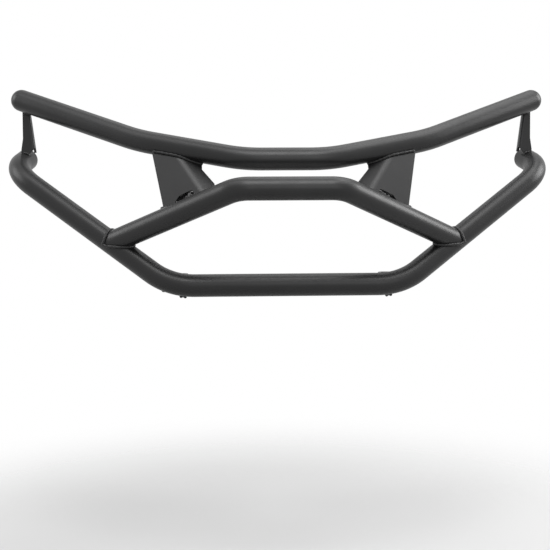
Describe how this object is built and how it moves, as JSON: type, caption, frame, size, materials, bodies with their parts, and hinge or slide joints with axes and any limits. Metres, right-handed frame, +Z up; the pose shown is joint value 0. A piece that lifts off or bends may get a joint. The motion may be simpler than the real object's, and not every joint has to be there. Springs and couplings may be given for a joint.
{
  "type": "front grille guard",
  "caption": "Bolt-on front guard of bent black steel tubes for a quad bike, with a centre hoop, folded gussets, uprights and rear brackets.",
  "frame": {"origin": "on the centre plane, at the middle of the guard's depth and the level of its lowest point", "axes": "+X across the vehicle, to the right of someone facing the guard's front; +Y towards the vehicle's rear; +Z up"},
  "size_m": [1.121, 0.3864, 0.4082],
  "materials": {
    "coat": "satin black powder coat with a fine texture",
    "zinc": "black zinc-plated steel fasteners",
    "plug": "moulded black plug"
  },
  "bodies": {
    "root": {"top_tube": "coat", "lower_tube": "coat", "hoop_tube": "coat", "top_end_cap_left": "coat", "top_end_cap_right": "coat", "lower_end_cap_left": "plug", "lower_end_cap_right": "plug", "centre_gusset_left": "coat", "centre_gusset_right": "coat", "upright_left": "coat", "upright_right": "coat", "lower_tab_left": "coat", "lower_tab_right": "coat", "upper_tab_left": "coat", "upper_tab_right": "coat", "lower_bracket_left": "coat", "lower_bracket_right": "coat", "upper_bracket_left": "coat", "upper_bracket_right": "coat", "lower_bolt_1_left": "zinc", "lower_bolt_1_right": "zinc", "lower_washer_1_left": "zinc", "lower_washer_1_right": "zinc", "lower_nut_1_left": "zinc", "lower_nut_1_right": "zinc", "lower_bolt_2_left": "zinc", "lower_bolt_2_right": "zinc", "lower_washer_2_left": "zinc", "lower_washer_2_right": "zinc", "lower_nut_2_left": "zinc", "lower_nut_2_right": "zinc", "upper_bolt_1_left": "zinc", "upper_bolt_1_right": "zinc", "upper_washer_1_left": "zinc", "upper_washer_1_right": "zinc", "upper_nut_1_left": "zinc", "upper_nut_1_right": "zinc", "upper_bolt_2_left": "zinc", "upper_bolt_2_right": "zinc", "upper_washer_2_left": "zinc", "upper_washer_2_right": "zinc", "upper_nut_2_left": "zinc", "upper_nut_2_right": "zinc"}
  },
  "joints": []
}
